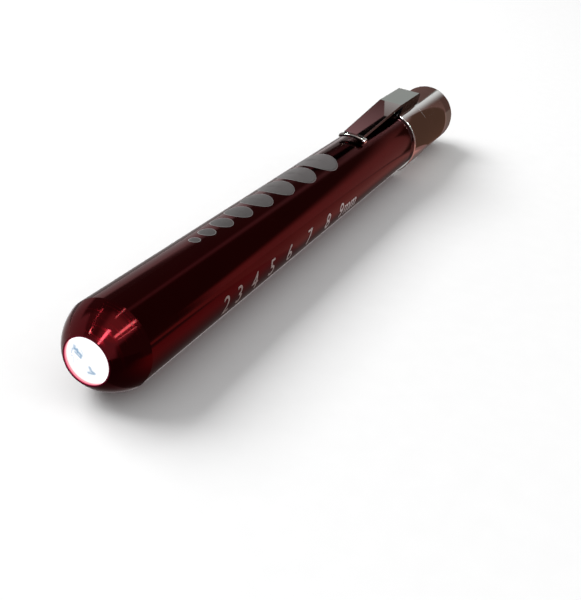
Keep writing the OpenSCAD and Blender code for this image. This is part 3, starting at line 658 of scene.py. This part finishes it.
def card(name, corners, code, strength, soft=0.0, top=None):
    """A flat sheet that polished surfaces alone see; soft is the share that fades, top its colour above."""
    sheet = bpy.data.meshes.new(name)
    sheet.from_pydata(corners, [], [list(range(len(corners)))])
    made = bpy.data.materials.new(name)
    made.use_nodes = True
    tree = made.node_tree
    tree.nodes.clear()
    colour = linear(code)
    if top:
        heights = [corner[2] for corner in corners]
        spot = add(tree, "ShaderNodeSeparateXYZ", {0: add(tree, "ShaderNodeTexCoord").outputs["Object"]})
        rise = add(tree, "ShaderNodeMapRange", {0: spot.outputs["Z"], 1: min(heights), 2: max(heights)})
        graded = add(tree, "ShaderNodeMix", {0: rise, 6: colour, 7: linear(top)}, data_type="RGBA")
        colour = graded.outputs[2]
    light = add(tree, "ShaderNodeEmission", {"Color": colour, "Strength": strength})
    if soft:
        spread = sheet.uv_layers.new(name="spread")
        for loop, at in zip(spread.data, ((0, 0), (1, 0), (1, 1), (0, 1))):
            loop.uv = at
        where = add(tree, "ShaderNodeUVMap", uv_map="spread")
        off_mid = add(tree, "ShaderNodeVectorMath", {0: where, 1: (0.5, 0.5, 0.0)}, operation="SUBTRACT")
        from_mid = add(tree, "ShaderNodeVectorMath", {0: off_mid}, operation="ABSOLUTE")
        axes = add(tree, "ShaderNodeSeparateXYZ", {0: from_mid})
        edge = add(tree, "ShaderNodeMath", {0: axes.outputs["X"], 1: axes.outputs["Y"]}, operation="MAXIMUM")
        fade = add(tree, "ShaderNodeMapRange", {
            0: edge, 1: 0.5 - soft, 2: 0.5, 3: 1.0, 4: 0.0,
        }, interpolation_type="SMOOTHSTEP")
        clear = add(tree, "ShaderNodeBsdfTransparent")
        light = add(tree, "ShaderNodeMixShader", {0: fade, 1: clear, 2: light})
    add(tree, "ShaderNodeOutputMaterial", {"Surface": light})
    sheet.materials.append(made)
    board = bpy.data.objects.new(name, sheet)
    scene.collection.objects.link(board)
    board.visible_camera = False
    board.visible_diffuse = False
    board.visible_shadow = False
    board.visible_transmission = False


def level_corners(x0, x1, y0, y1, z):
    """The corners of a rectangle that lies level."""
    return [(x0, y0, z), (x1, y0, z), (x1, y1, z), (x0, y1, z)]


# White paper: matt, with a faint tooth; it keeps the shadow near the part and turns to plain white beyond.
paper, tree, shader, place = start_finish(
    "white_paper", Roughness=0.9, Specular_IOR_Level=0.0, Emission_Color=linear("#ffffff"),
)
tooth = add(tree, "ShaderNodeTexNoise", {"Vector": place, "Scale": 1 / paper_tooth})
white = add(tree, "ShaderNodeMix", {0: tooth, 6: linear("#f3f3f3"), 7: linear("#f6f6f6")}, data_type="RGBA")
reach = add(tree, "ShaderNodeVectorMath", {0: place}, operation="LENGTH")
beyond = add(tree, "ShaderNodeMapRange", {
    0: reach.outputs["Value"], 1: shadow_reach, 2: white_reach, 3: 0.0, 4: 1.0,
}, interpolation_type="SMOOTHSTEP")
lit = add(tree, "ShaderNodeMix", {0: beyond, 6: white.outputs[2], 7: linear("#000000")}, data_type="RGBA")
tree.links.new(lit.outputs[2], shader.inputs["Base Color"])
tree.links.new(beyond.outputs[0], shader.inputs["Emission Strength"])
floor_mesh = bpy.data.meshes.new("floor")
floor_corners = level_corners(-floor_half, floor_half, -floor_half, floor_half, floor_z)
floor_mesh.from_pydata(floor_corners, [], [(0, 1, 2, 3)])
floor_mesh.materials.append(paper)
floor = bpy.data.objects.new("floor", floor_mesh)
scene.collection.objects.link(floor)

# Cards that stand or lean round the part: three beyond the tail, one on each side and one ahead of the nose.
card("brown_card", [
    (-0.75, -0.02, -0.1), (-0.35, 1.2, -0.1), (-0.35, 1.2, 0.85), (-0.75, -0.02, 0.85),
], "#7a5850", 0.6, 0.12)
card("dark_card", [
    (-0.8, -1.0, 0.3), (-0.75, 0.1, 0.3), (-0.55, 0.1, 1.0), (-0.55, -1.0, 1.0),
], "#6a5452", 1.2, 0.12)
card("grey_card", [
    (-0.8, -0.46, 0.05), (-0.75, -0.02, 0.05), (-0.75, -0.02, 0.36), (-0.8, -0.46, 0.36),
], "#c8ccc8", 0.68, 0.06)
card("left_card", [
    (-1.0, -0.9, 0.38), (0.15, -1.0, 0.38), (0.15, -1.0, 1.5), (-1.0, -0.9, 1.5),
], "#8a7a78", 1.0, 0.15)
card("right_card", [
    (-0.5, 0.8, -0.3), (0.6, 0.55, -0.3), (0.6, 0.55, 0.42), (-0.5, 0.8, 0.95),
], "#6e6460", 1.0, 0.15)
card("front_card", [
    (0.8, 0.5, -0.2), (0.8, -0.5, -0.2), (0.8, -0.5, 0.42), (0.8, 0.5, 0.42),
], "#98908e", 1.0, 0.2)

# The ceiling, in four cards, brightest over the right of the nose.
for name, x0, x1, y0, y1, z, code, strength, soft in (
    ("ceiling_rear", -1.0, 0.3, -1.4, 0.2, 1.2, "#ffeee8", 0.2, 0.1),
    ("ceiling_back", -1.0, 0.3, -0.1, 1.3, 1.15, "#ffeee8", 0.5, 0.15),
    ("ceiling_left", -0.1, 1.2, -1.4, 0.3, 1.1, "#ffeee8", 0.42, 0.2),
    ("ceiling_right", -0.1, 1.2, -0.25, 1.2, 1.0, "#ffe6de", 1.3, 0.2),
):
    card(name, level_corners(x0, x1, y0, y1, z), code, strength, soft)

# Sheets laid over the floor in layers: grey to the left, pale under the barrel, red and warm to the right.
sheet_z = -7.4 * mm
lap = 0.05 * mm
for name, x0, x1, y0, y1, layer, code, strength, soft in (
    ("left_sheet", -0.2, 0.035, -0.2, -0.0085, 0, "#b4b0af", 0.95, 0.0),
    ("front_sheet", -0.8, 0.8, -0.002, 1.0, 0, "#6e6260", 1.0, 0.0),
    ("tail_sheet", -0.7, -0.05, 0.004, 0.3, 1, "#866e66", 0.9, 0.04),
    ("red_sheet", -0.12, 0.25, 0.006, 0.04, 2, "#de7c7c", 0.9, 0.35),
    ("warm_sheet", -0.08, 0.0, 0.0075, 0.12, 3, "#e09a90", 1.0, 0.06),
    ("foot_sheet", -0.075, 0.075, -0.008, 0.0045, 4, "#e4e0e0", 1.05, 0.0),
    ("nose_sheet", 0.046, 0.4, -0.02, 0.3, 5, "#5e4c4e", 0.85, 0.06),
):
    card(name, level_corners(x0, x1, y0, y1, sheet_z + layer * lap), code, strength, soft)

# Small cards across the axis near the tail, which give the clip's arm, the collar and the cap their tones.
# Their places and outlines are in millimetres. The first two meet on a slanting line.
meet_low, meet_high = (-10.6, 29.4), (-25.2, 45)
left_outline = ((-45, 20), (-11.5, 20), meet_low, meet_high, (-45, 45))
for name, x, outline, code, strength, soft, top in (
    ("near_left", -85, left_outline, "#3b1706", 0.68, 0.0, "#ca9499"),
    ("near_dark", -85, (meet_low, (-3, 29.4), (-3, 45), meet_high), "#141010", 0.5, 0.0, None),
    ("near_right", -85, ((2, -70), (120, -70), (120, 30), (2, 30)), "#ffbcb2", 0.85, 0.2, None),
    ("near_low", -84, ((6, -20), (22, -20), (16.8, 16.5), (6, 16.5)), "#5c4034", 0.9, 0.07, None),
    ("near_top", -100, ((-16, -7), (1.5, -7), (1.5, 18), (-16, 18)), "#6c524d", 1.0, 0.06, None),
):
    card(name, [(x * mm, y * mm, z * mm) for y, z in outline], code, strength, soft, top)

# Strips: long bright lines overhead that face the axis and draw streaks on the dome.
for name, y, z, x0, x1, wide, code, strength in (
    ("strip_a", 0.545, 0.81, -0.15, 0.6, 0.09, "#e4fff2", 18.0),
    ("strip_e", 0.72, 0.74, -0.1, 0.58, 0.014, "#e4fff2", 20.0),
    ("strip_b", 0.15, 0.72, 0.4, 0.95, 0.14, "#f0f4ff", 30.0),
    ("strip_c", -0.47, 0.8, -0.04, 0.69, 0.03, "#e4fff2", 70.0),
    ("strip_d", 0.065, 0.97, -0.29, 0.13, 0.018, "#e4fff2", 20.0),
):
    across_y, across_z = wide / 2 * z, -wide / 2 * y
    card(name, [
        (x0, y - across_y, z - across_z), (x1, y - across_y, z - across_z),
        (x1, y + across_y, z + across_z), (x0, y + across_y, z + across_z),
    ], code, strength)

key = bpy.data.lights.new("key", "AREA")
key.shape = "RECTANGLE"
key.size = 1.2
key.size_y = 0.8
key.energy = 22.0
key_holder = bpy.data.objects.new("key", key)
key_holder.location = (0.1, -1.1, 1.0)
key_holder.rotation_euler = (-key_holder.location).to_track_quat("-Z", "Y").to_euler()
scene.collection.objects.link(key_holder)
key_holder.visible_glossy = False

# The sky is white to the eye, in polish and through glass, and lights matt surfaces at a lower level.
sky_fill = 0.55
world = bpy.data.worlds.new("sky")
scene.world = world
world.use_nodes = True
tree = world.node_tree
tree.nodes.clear()
seen = 0.0
path = add(tree, "ShaderNodeLightPath")
for ray in ("Is Camera Ray", "Is Glossy Ray", "Is Transmission Ray"):
    seen = add(tree, "ShaderNodeMath", {0: seen, 1: path.outputs[ray]}, operation="MAXIMUM")
level = add(tree, "ShaderNodeMapRange", {0: seen, 1: 0.0, 2: 1.0, 3: sky_fill, 4: 1.0})
sky = add(tree, "ShaderNodeBackground", {"Color": linear("#ffffff"), "Strength": level})
add(tree, "ShaderNodeOutputWorld", {"Surface": sky})
scene.view_settings.view_transform = "Standard"

# Camera: a normal lens above the nose and to its right, rolled a little so that the pen runs up the picture.
lens = bpy.data.cameras.new("camera")
lens.sensor_width = 36.0
lens.lens = 53.679
lens.clip_start = 1 * mm
eye = bpy.data.objects.new("camera", lens)
eye.location = (144.649 * mm, 57.833 * mm, 66.530 * mm)
eye.rotation_euler = [math.radians(a) for a in (61.290, -7.856, 114.823)]
scene.collection.objects.link(eye)
scene.camera = eye
